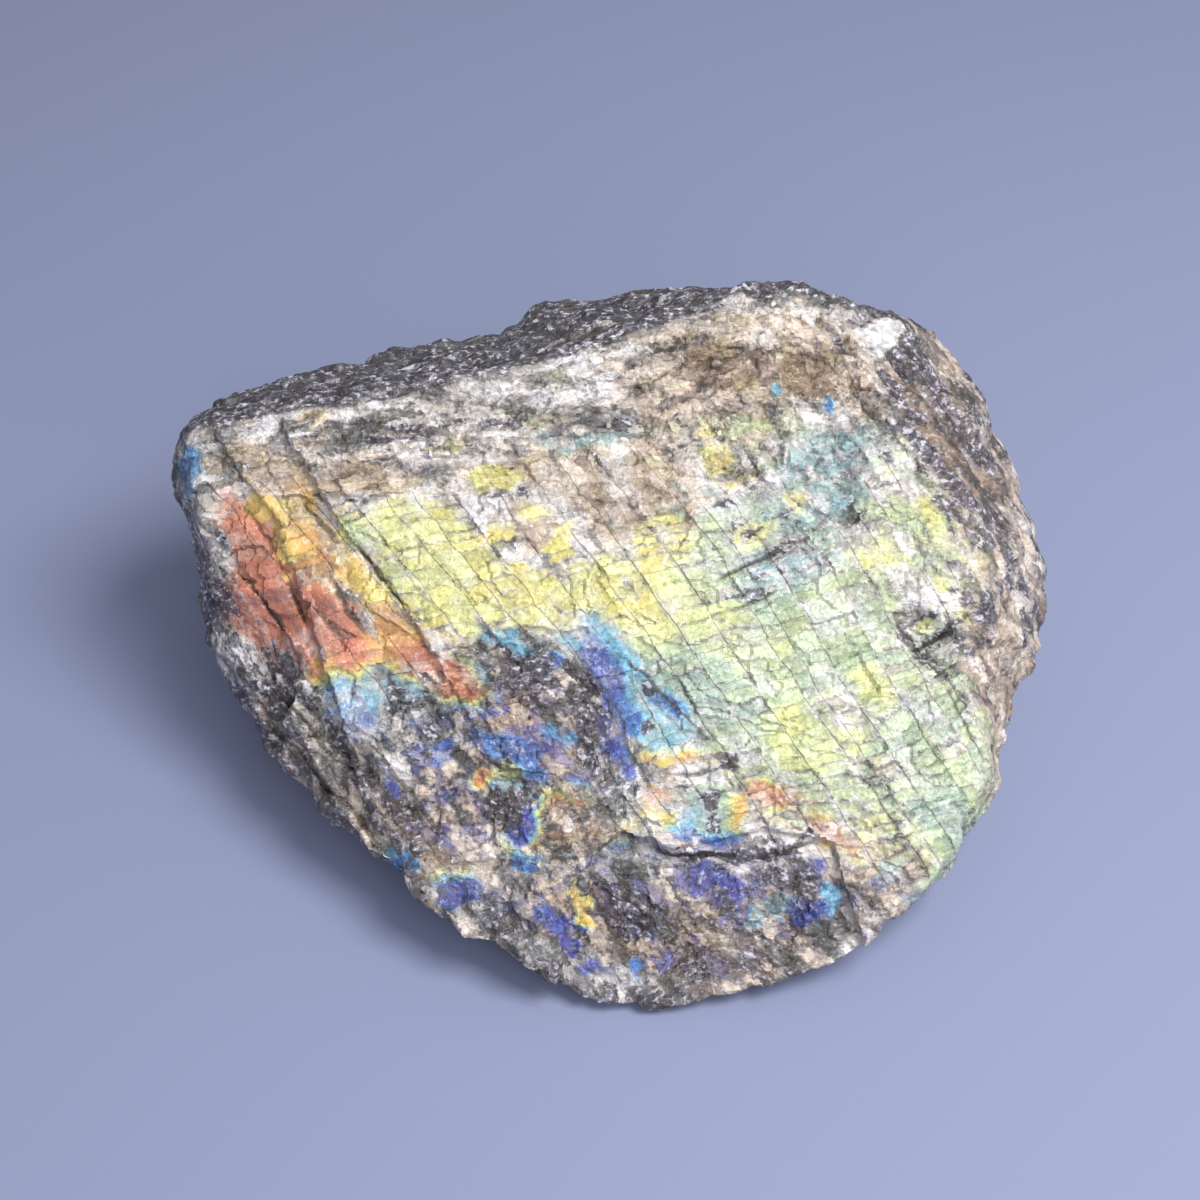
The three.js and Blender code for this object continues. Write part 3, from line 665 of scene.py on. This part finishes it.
def merged_copy(node):
    """A merged copy of a solid's node, free to be changed."""
    only(node)
    bpy.ops.object.duplicate()
    piece = bpy.context.active_object
    piece.parent = None
    for mark in [key for key in piece.keys() if key.startswith("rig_")]:
        del piece[mark]
    bpy.ops.object.mode_set(mode="EDIT")
    bpy.ops.mesh.select_all(action="SELECT")
    bpy.ops.mesh.remove_doubles(threshold=MERGE_DISTANCE)
    bpy.ops.object.mode_set(mode="OBJECT")
    return piece


def apply_modifiers(piece):
    """Applies every modifier of a piece."""
    only(piece)
    for name in [modifier.name for modifier in piece.modifiers]:
        bpy.ops.object.modifier_apply(modifier=name)


def move_along(piece, distances, way):
    """Moves each vertex one way by its own distance, in millimetres."""
    write_spots(piece.data, read_spots(piece.data) + np.outer(distances * MM, np.array(way)))


def paint(piece, name, values):
    """Stores a painted field on a piece."""
    field = piece.data.attributes.new(name, "FLOAT", "POINT")
    field.data.foreach_set("value", np.clip(values, 0, 1).astype(np.float32))


def painted(across, up, strokes, ground, spread=1):
    """A field painted stroke by stroke over its ground, each stroke spread so many times."""
    field = np.array(ground, float) * np.ones(len(across))
    for middle_across, middle_up, length, width, turn, value in strokes:
        weight = stroke(across, up, middle_across, middle_up, length * spread, width * spread, turn)
        field += (value - field) * weight
    return field


def dip_crest(piece):
    """Lowers the back of the crest where it dips, on the left of the middle."""
    across, up, out = face_places(piece.data)
    height = CREST_WAY[0] * up + CREST_WAY[1] * out
    dip = DIP_DEPTH * np.exp(-(((across - DIP_PLACE) / DIP_WIDTH) ** 2)) * ease(*DIP_RISE, height)
    move_along(piece, -dip, (UPHILL + CREST_WAY[1] * OUTWARD).normalized())


def cut_steps(piece):
    """Cuts the cleavage steps, paints a line of shade beside each, and presses in the hollows."""
    across, up, out = face_places(piece.data)
    on_face = ease(-1, 2, inside_face(across, up, out))
    on_flank = ease(-16, -12, out) * (1 - ease(-18, -8, up)) * (1 - ease(-14, -4, across))
    reach = np.maximum(on_face, on_flank)
    a = wobbled(across, (across, up, out), (0.5, 9, 1), (0.15, 2.5, 3))
    b = wobbled(up, (across, up, out), (0.5, 9, 2), (0.15, 2.5, 4))
    height = np.zeros(len(across))
    crevice = np.zeros(len(across))
    for *line, depth, run in STEPS:
        left, share = beside(a, b, line[:2], line[2:])
        fade = ease(*STEP_START, share) * (1 - ease(*STEP_END, share))
        height -= depth * ease(*STEP_LIP, left) * np.clip(1 - left / run, 0, 1) * fade
        # Painted shade: a dark line just beside each step's drop, where its riser is in shadow
        shadow = np.exp(-(((left - STEP_SHADOW_PLACE) / STEP_SHADOW_WIDTH) ** 2)) * fade**2
        crevice = np.maximum(crevice, shadow * min(abs(depth), 1))
    for *hollow, depth in PITS:
        height -= depth * stroke(a, b, *hollow)
    move_along(piece, height * reach, OUTWARD)
    paint(piece, "crevice", crevice * reach)


def paint_ground(piece):
    """Paints where the skin is rough, granular or behind the crest, and the way that its grain runs."""
    places = across, up, out = face_places(piece.data)
    over_crest = up - np.interp(across, *zip(*CREST_LINE))
    paint(piece, "rough", 1 - ease(-3, 1.5, inside_face(*places)))
    paint(piece, "granular", painted(across, up, GRANULAR, 0.1))
    paint(piece, "behind", ease(-2, 2, over_crest) * (1 - ease(30, 50, across)))
    paint(piece, "level", ease(-16, -9, over_crest) * (1 - ease(10, 30, across)))
    u = GRAIN_WAYS[0][0] * across + GRAIN_WAYS[0][1] * up + GRAIN_CURVE * across**2
    v = GRAIN_WAYS[1][0] * across + GRAIN_WAYS[1][1] * up
    u = wobbled(u, places, (1.2, 34, 21), (0.3, 8, 22))
    v = wobbled(v, places, (2, 24, 23), (0.5, 6, 24))
    grain = piece.data.attributes.new("grain", "FLOAT_VECTOR", "POINT")
    grain.data.foreach_set("vector", np.stack([u, v, out], axis=1).astype(np.float32).ravel())


def cleaved_ground(board, place, grain):
    """Blocks, the larger slabs that they are part of, terraces with curved edges, and a slow swell."""
    u, v, _ = board.parts(grain)
    from_middle, luck, _ = brickwork(board, u, v, *BLOCK_SIZE)
    blocks = block_height(board, from_middle, luck, *BLOCK_TOP)
    from_middle, luck, _ = brickwork(board, u, v, *SLAB_SIZE)
    slabs = block_height(board, from_middle, luck, *SLAB_TOP)
    terraces = board.math("FRACT", board.times(board.noise(grain, 0.1, 1)[0], TERRACES))
    swell = board.noise(place, 0.09)[0]
    return board.total(blocks, slabs, board.swung(terraces, -0.45), board.swung(swell, 3))


def shard_ground(board, place, is_level):
    """Shards, long one way, which broken ground is made of: their height, luck and gaps."""
    swirl = board.centred(board.noise(place, 0.45)[1])
    warped = board.vector("ADD", place, board.scaled(swirl, 3))
    shard_place = streaks(board, warped, board.math("GREATER_THAN", is_level, 0.5), (4.5, 2), (4.5, 1.8))
    shard = board.cells(shard_place)
    gap = board.gap(shard_place)
    facets = board.times(tilted_facets(board, shard_place, shard), 1.1)
    height = board.total(facets, board.rise(gap, 0, 0.16, -0.45, 0))
    return height, board.parts(shard.outputs["Color"])[1], gap


def crust_ground(board, place, streaky, shards):
    """Flaky crust and ridged flanks."""
    hollows = board.noise(place, 0.13, 2.5)[0]
    chunks = board.gap(place, 0.15)
    flakes = board.total(board.swung(streaky, 2.4), board.swung(hollows, 2.8), board.times(shards, 0.24))
    return board.total(flakes, board.times(chunks, 1.6), -0.25)


def break_skin(piece):
    """Breaks the skin up into cleavage blocks, granular ground and flaky crust."""
    tree = bpy.data.node_groups.new("broken skin", "GeometryNodeTree")
    for way in ("INPUT", "OUTPUT"):
        tree.interface.new_socket("Geometry", in_out=way, socket_type="NodeSocketGeometry")
    board = Board(tree)
    moved = board.add("NodeGroupInput").outputs[0]
    position = board.add("GeometryNodeInputPosition").outputs[0]
    normal = board.add("GeometryNodeInputNormal").outputs[0]
    fields = {"rough": "FLOAT", "granular": "FLOAT", "level": "FLOAT", "grain": "FLOAT_VECTOR"}
    rough, granular, is_level, grain = [
        board.add("GeometryNodeInputNamedAttribute", {"Name": name}, data_type=kind).outputs[0]
        for name, kind in fields.items()
    ]
    place = face_millimetres(board, position)

    cleaved = cleaved_ground(board, place, grain)
    shards, shard_luck, gap = shard_ground(board, place, is_level)
    lumps = board.noise(place, 0.28, 4, 0.62)[0]
    grainy = board.total(board.times(shards, 0.75), board.swung(lumps, 1.8), board.times(cleaved, 0.5))
    falling = board.noise(skewed(board, place, FALLING, (15, 2.6, 2.6)), 1, 2.5, 0.55)[0]
    level = board.noise(skewed(board, place, LEVEL, (9, 2.2, 2.2)), 1, 2.5, 0.55)[0]
    streaky = board.mixed(is_level, falling, level)
    crust = crust_ground(board, place, streaky, shards)

    height = board.mixed(rough, board.mixed(granular, cleaved, grainy), crust)
    offset = board.scaled(normal, board.times(height, MM))
    moved = board.add("GeometryNodeSetPosition", {"Geometry": moved, "Offset": offset}).outputs[0]
    mottle = board.noise(place, 0.22, 6, 0.6)[0]
    for name, values in {"mottle": mottle, "streaky": streaky, "shard": shard_luck, "gap": gap}.items():
        sources = {"Geometry": moved, "Name": name, "Value": values}
        store = board.add("GeometryNodeStoreNamedAttribute", sources, data_type="FLOAT", domain="POINT")
        moved = store.outputs[0]
    board.add("NodeGroupOutput", (moved,))
    modifier = piece.modifiers.new("Broken skin", "NODES")
    modifier.node_group = tree
    apply_modifiers(piece)


def thin_out(piece, most):
    """Merges the flattest triangles until no more than so many are left."""
    triangles = sum(len(face.vertices) - 2 for face in piece.data.polygons)
    if triangles > most:
        thinning = piece.modifiers.new("Thinning", "DECIMATE")
        thinning.ratio = most / triangles
        apply_modifiers(piece)


def keep_in_box(piece):
    """Holds the skin inside the solid's own box and on the surface it rests on."""
    low, high = [np.array(corner, np.float32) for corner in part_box(NODE)]
    write_spots(piece.data, np.clip(read_spots(piece.data), low, high))


def paint_fields(piece):
    """Paints where each mineral and each colour of the flash is."""
    places = across, up, out = face_places(piece.data)
    a = wobbled(across, places, (0.6, 7, 5), (0.5, 2.5, 6))
    b = wobbled(up, places, (0.6, 7, 7), (0.5, 2.5, 8))
    on_face = ease(-1.5, 1, inside_face(a, b, out))
    hue = painted(a, b, [patch[:6] for patch in FLASHES], PLAIN_HUE, HUE_SPREAD)
    flash = painted(a, b, [patch[:5] + patch[6:] for patch in FLASHES], 0.06 * on_face)
    paint(piece, "hue", hue)
    paint(piece, "flash", flash * ease(-22, -18, out))

    # Off the face: dark crust behind it, speckled feldspar on the right, granular flanks in front
    behind = np.empty(len(across), np.float32)
    piece.data.attributes["behind"].data.foreach_get("value", behind)
    off = 1 - on_face
    right = ease(38, 50, across)
    side_mica = wobbled(0.44 + 0.36 * behind - 0.13 * right, places, (0.2, 13, 9))
    side_rust = wobbled(0.22 - 0.2 * behind + 0.3 * right, places, (0.3, 18, 10))
    side_pale = wobbled(0.2 - 0.18 * behind + 0.08 * right, places, (0.18, 12, 11))
    pale = painted(a, b, PALE, 0.36 * on_face + side_pale * off)
    mica = painted(a, b, MICA, 0.04 * on_face + side_mica * off)
    paint(piece, "mica", mica * (1 - ease(0.55, 0.8, pale)))
    paint(piece, "rust", painted(a, b, RUST, 0.08 * on_face + side_rust * off))
    paint(piece, "pale", pale)


# ---- The stone's material ----
def read_painted(board):
    """The fields painted on the mesh, by name."""
    names = ["hue", "flash", "mica", "rust", "pale", "rough", "granular", "level"]
    names += ["mottle", "streaky", "shard", "gap", "crevice"]
    return {name: board.add("ShaderNodeAttribute", attribute_name=name).outputs["Fac"] for name in names}


def swings(board, field, amounts):
    """Several fields' swings together."""
    return board.total(*[board.swung(field[name], amount) for name, amount in amounts.items()])


def add_facets(board, field, name, place, steep_broken, steep_cleaved):
    """Adds the luck of flakes or chips, and gives their relief."""
    cells = board.cells(place)
    for letter, luck in zip("xyz", board.parts(cells.outputs["Color"])):
        field[name + " " + letter] = luck
    steepness = board.mixed(field["cleaved"], steep_broken, steep_cleaved)
    return board.times(tilted_facets(board, place, cells), steepness)


def add_grains(board, field, place, grain):
    """Adds grain as fine as dust, flakes and chips, and gives the relief of the last two."""
    smooth = board.math("SUBTRACT", 1, field["rough"])
    field["cleaved"] = board.times(smooth, board.rise(field["granular"], 0.7, 0.2))
    field["broken"] = board.math("SUBTRACT", 1, field["cleaved"])
    field["fine"], fine_colour = board.noise(place, 1.3, 3.5, 0.6)
    is_level = board.math("GREATER_THAN", board.total(field["level"], board.swung(field["fine"], 1)), 0.5)
    fringed = board.vector("ADD", place, board.scaled(board.centred(fine_colour), 1.2))
    flake_place = streaks(board, fringed, is_level, (3.8, 1.4), (4.8, 1.3))
    chip_place = skewed(board, grain, PLAIN_WAYS, (0.9, 0.6, 0.9))
    chips = add_facets(board, field, "chip", chip_place, 0.45, 0.1)
    return board.total(chips, add_facets(board, field, "flake", flake_place, 0.6, 0.06))


def add_cracks(board, field, grain):
    """Adds the blocks, straight cracks between them, curved cracks, and the middles of the blocks."""
    u, v, _ = board.parts(grain)
    cleaved = field["cleaved"]
    wide, long = BLOCK_SIZE
    ragged = board.total(v, board.swung(field["fine"], 1.6))
    _, luck, along = brickwork(board, u, ragged, wide, long)
    field["block x"], field["block y"], field["block z"] = luck
    long_gap = board.rows(u, wide, "DISTANCE_TO_EDGE").outputs["Distance"]
    long_gap = board.math("ADD", long_gap, board.swung(field["fine"], 0.05))
    short_gap = board.rows(along, long, "DISTANCE_TO_EDGE").outputs["Distance"]
    long_crack = board.times(board.rise(long_gap, 0, 0.035, 0.9, 0), board.rise(field["mottle"], 0.35, 0.5))
    short_crack = board.rise(short_gap, 0, 0.06, 0.55, 0)
    short_crack = board.times(short_crack, board.rise(field["streaky"], 0.62, 0.48))
    short_crack = board.times(short_crack, board.rise(field["hue"], 0.88, 0.74, 0.25, 1))
    field["straight crack"] = board.times(board.math("MAXIMUM", long_crack, short_crack), cleaved)

    swirl = board.scaled(board.centred(board.noise(grain, 0.5, 1, dimensions="2D")[1]), 2.2)
    scales = skewed(board, board.vector("ADD", grain, swirl), PLAIN_WAYS, (3.2, 1.7, 5))
    curved_crack = board.rise(board.gap(scales, dimensions="2D"), 0, 0.05, 0.65, 0)
    curved_crack = board.times(curved_crack, board.rise(field["mottle"], 0.56, 0.44))
    field["crack"] = board.math("MAXIMUM", field["straight crack"], board.times(curved_crack, cleaved))

    nearest_gap = board.math("MINIMUM", board.times(long_gap, 2), short_gap)
    yellow_or_green = board.times(board.rise(field["hue"], 0.3, 0.45), board.rise(field["hue"], 0.82, 0.74))
    centre = board.rise(nearest_gap, 0.02, 0.34, -0.2, 0.2)
    field["centre"] = board.times(centre, board.times(yellow_or_green, cleaved))


def feldspar_colour(board, field, settings):
    """Plain feldspar, glassy grey to white, with weathered and chalky places."""
    tone = board.total(
        board.swung(field["shard"], board.mixed(field["cleaved"], 0.75, 0.2)),
        swings(board, field, TONE_SWINGS),
        board.times(field["pale"], 0.9),
        0.2,
    )
    rust = board.total(field["rust"], swings(board, field, RUST_SWINGS))
    chalk = board.math("ADD", field["pale"], board.swung(field["fine"], 1))
    warm = [(0.05, WARM_SHADOW), (0.3, WARM_GREY), (0.55, settings.tan), (0.9, WARM_WHITE)]
    colour = board.ramp(tone, FELDSPAR_COLOURS)
    colour = board.blended(board.rise(rust, 0.15, 0.6, 0, 0.8), colour, board.ramp(tone, warm))
    colour = board.blended(board.rise(rust, 0.55, 1.1, 0, 0.85), colour, settings.rust)
    return board.blended(board.rise(chalk, 0.85, 0.95), colour, settings.chalk)


def with_flash(board, field, settings, colour):
    """The flash, weaker in some blocks and flakes, and veiled along the grain."""
    hue = board.total(field["hue"], swings(board, field, HUE_SWINGS))
    flakes = board.times(board.swung(field["flake z"], 0.45), board.math("ADD", field["broken"], 0.2))
    push = board.total(field["flash"], swings(board, field, FLASH_SWINGS), field["centre"], flakes)
    push = board.times(board.rise(push, 0.1, 1, 0, 0.94), board.rise(field["flash"], 0, 0.12))
    colour = board.blended(push, colour, board.ramp(hue, FLASH_COLOURS))
    veil = board.total(field["streaky"], board.swung(field["fine"], 0.6))
    veil = board.times(board.rise(veil, 0.5, 0.64, 0, 0.48), board.rise(field["flash"], 0.8, 1, 1, 0.25))
    return board.blended(board.times(veil, field["cleaved"]), colour, settings.veil)


def with_chips(board, field, settings, colour):
    """Painted shade that makes chips and blocks lighter or darker than the next, with random tone, and here
    and there a painted glint.
    """
    # Painted glints: chalk white mixed in here and there, more on broken ground
    spark = board.total(board.times(field["chip x"], 0.5), board.swung(field["fine"], 1.4), 0.2)
    spark = board.times(board.rise(spark, 0.66, 0.84, 0, 0.28), board.mixed(field["cleaved"], 1, 0.3))
    colour = board.blended(spark, colour, settings.chalk)
    # Painted shade for the tilt of each block and chip, partly random tone, with fine grain
    dust = board.swung(field["fine"], board.mixed(field["cleaved"], 1.3, 0.9))
    shade = board.total(swings(board, field, SHADE_SWINGS), dust, 0.93)
    grey = board.add("ShaderNodeCombineColor", (shade, shade, shade)).outputs[0]
    return board.blended(1, colour, grey, "MULTIPLY")


def with_dark_grains(board, field, settings, colour):
    """Dark grains with painted glints on a few, the darkness in cracks, and painted shade in crevices."""
    shards = board.times(board.swung(field["shard"], 0.35), field["broken"])
    mica = board.total(field["mica"], swings(board, field, MICA_SWINGS), shards)
    # Painted sheen and glints: the dark grains' colour runs up to near white by chip luck and fine grain
    glint = board.total(board.times(field["chip y"], 0.5), board.swung(field["fine"], 1.5), 0.25)
    stops = [(0, settings.mica), (0.4, MICA_EDGE), (0.62, MICA_SHEEN), (0.8, MICA_GLINT)]
    colour = board.blended(board.rise(mica, 0.34, 0.72, 0, 0.93), colour, board.ramp(glint, stops))
    colour = board.blended(board.times(field["crack"], 0.6), colour, CRACK_COLOUR)
    # Painted shade in the gaps between shards, deeper where dark grains are, and along the steps
    shard_gap = board.times(board.rise(field["gap"], 0, 0.14, 1, 0), field["broken"])
    shard_gap = board.times(shard_gap, board.math("MULTIPLY_ADD", field["mica"], 0.5, 0.42))
    crevice = board.math("MAXIMUM", shard_gap, board.rise(field["crevice"], 0.15, 0.8, 0, 0.8))
    return board.blended(crevice, colour, CREVICE_SHADE_COLOUR)


def stone_material(settings):
    """The stone's one material, which reads the fields painted on its mesh."""
    material = bpy.data.materials.new("labradorite")
    material.use_nodes = True
    material.node_tree.nodes.clear()
    board = Board(material.node_tree)
    place = face_millimetres(board, board.add("ShaderNodeTexCoord").outputs["Object"])
    grain = board.add("ShaderNodeAttribute", attribute_name="grain").outputs["Vector"]
    field = read_painted(board)
    relief = add_grains(board, field, place, grain)
    add_cracks(board, field, grain)
    colour = feldspar_colour(board, field, settings)
    for coat in (with_flash, with_chips, with_dark_grains):
        colour = coat(board, field, settings, colour)

    grit = board.swung(field["fine"], board.mixed(field["cleaved"], 0.5, 0.28))
    height = board.total(relief, grit, board.times(field["straight crack"], -0.1))
    bump = board.add("ShaderNodeBump", {"Strength": 1, "Distance": MM, "Height": height})
    sources = {
        "Base Color": colour,
        "Roughness": board.rise(field["chip x"], 0, 1, 0.15, 0.5),
        "Normal": bump.outputs[0],
        "IOR": FELDSPAR_IOR,
    }
    shader = board.add("ShaderNodeBsdfPrincipled", sources)
    board.add("ShaderNodeOutputMaterial", {"Surface": shader.outputs[0]})
    return material


# ---- The stage ----
def add_floor(colour):
    """Adds a plain floor."""
    bpy.ops.mesh.primitive_plane_add(size=FLOOR_SIZE, location=(0, 0, 0))
    floor = bpy.context.active_object
    floor.name = "floor"
    material = bpy.data.materials.new("floor")
    material.use_nodes = True
    shader = material.node_tree.nodes["Principled BSDF"]
    shader.inputs["Base Color"].default_value = (*colour, 1)
    shader.inputs["Roughness"].default_value = FLOOR_ROUGHNESS
    floor.data.materials.append(material)


def add_camera(stage):
    """Adds the camera, which looks down at the stone from the front."""
    back = Vector((0, -math.cos(stage.elevation), math.sin(stage.elevation)))
    bpy.ops.object.camera_add(location=LOOK_AT + back * stage.distance)
    camera = bpy.context.active_object
    camera.rotation_euler = (math.pi / 2 - stage.elevation, 0, 0)
    camera.data.lens = stage.lens
    camera.data.sensor_width = SENSOR_WIDTH
    camera.data.clip_start = NEAREST_SEEN
    return camera


def add_light(name, place, size, power, colour):
    """Adds a square area light that faces the stone."""
    bpy.ops.object.light_add(type="AREA", location=place)
    light = bpy.context.active_object
    light.name = name
    light.rotation_euler = (Vector(place) - LOOK_AT).to_track_quat("Z", "Y").to_euler()
    light.data.size = size
    light.data.energy = power
    light.data.color = colour


# ---- Operators ----
class STONE_OT_shape(bpy.types.Operator):
    """Shape the chunk of labradorite and give it its material"""

    bl_idname = "stone.shape"
    bl_label = "Rough Chunk"

    def execute(self, context):
        settings = context.scene.stone
        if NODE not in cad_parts:
            raise RuntimeError("the packed model has no " + NODE)
        piece = merged_copy(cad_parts[NODE])
        piece.name = "rough_stone"
        remesh = piece.modifiers.new("Grid", "REMESH")
        remesh.mode = "VOXEL"
        remesh.voxel_size = settings.grid
        apply_modifiers(piece)
        dip_crest(piece)
        cut_steps(piece)
        paint_ground(piece)
        break_skin(piece)
        thin_out(piece, settings.facets)
        keep_in_box(piece)
        paint_fields(piece)
        only(piece)
        bpy.ops.object.shade_smooth_by_angle(angle=SMOOTHED_UP_TO)
        piece.data.materials.clear()
        piece.data.materials.append(stone_material(settings))
        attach(piece, "root")
        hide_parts(NODE)
        return {"FINISHED"}


class STONE_OT_stage(bpy.types.Operator):
    """Set the floor, the lights and the camera"""

    bl_idname = "stone.stage"
    bl_label = "Stage"

    def execute(self, context):
        scene = context.scene
        stage = scene.stone_stage
        bpy.ops.object.select_all(action="DESELECT")
        add_floor(stage.floor)
        scene.camera = add_camera(stage)
        for name, place, size, share, colour in LIGHTS:
            add_light(name, place, size, stage.key * share, colour)
        world = bpy.data.worlds.new("sky")
        world.use_nodes = True
        background = world.node_tree.nodes["Background"]
        background.inputs["Color"].default_value = SKY_COLOUR
        background.inputs["Strength"].default_value = stage.sky
        scene.world = world
        scene.view_settings.view_transform = "Standard"
        return {"FINISHED"}


class STONE_PT_sidebar(bpy.types.Panel):
    """The stone's tools"""

    bl_idname = "STONE_PT_sidebar"
    bl_label = "Rough Labradorite"
    bl_space_type = "VIEW_3D"
    bl_region_type = "UI"
    bl_category = "Stone"

    def draw(self, context):
        scene = context.scene
        for settings, operator in ((scene.stone, STONE_OT_shape), (scene.stone_stage, STONE_OT_stage)):
            box = self.layout.box()
            for name in settings.__annotations__:
                box.prop(settings, name)
            box.operator(operator.bl_idname)


CLASSES = (StoneSettings, StageSettings, STONE_OT_shape, STONE_OT_stage, STONE_PT_sidebar)


def register():
    for cls in CLASSES:
        bpy.utils.register_class(cls)
    bpy.types.Scene.stone = bpy.props.PointerProperty(type=StoneSettings)
    bpy.types.Scene.stone_stage = bpy.props.PointerProperty(type=StageSettings)


def unregister():
    del bpy.types.Scene.stone_stage
    del bpy.types.Scene.stone
    for cls in reversed(CLASSES):
        bpy.utils.unregister_class(cls)


def main():
    register()
    bpy.ops.stone.shape()
    bpy.ops.stone.stage()


if __name__ == "__main__":
    main()
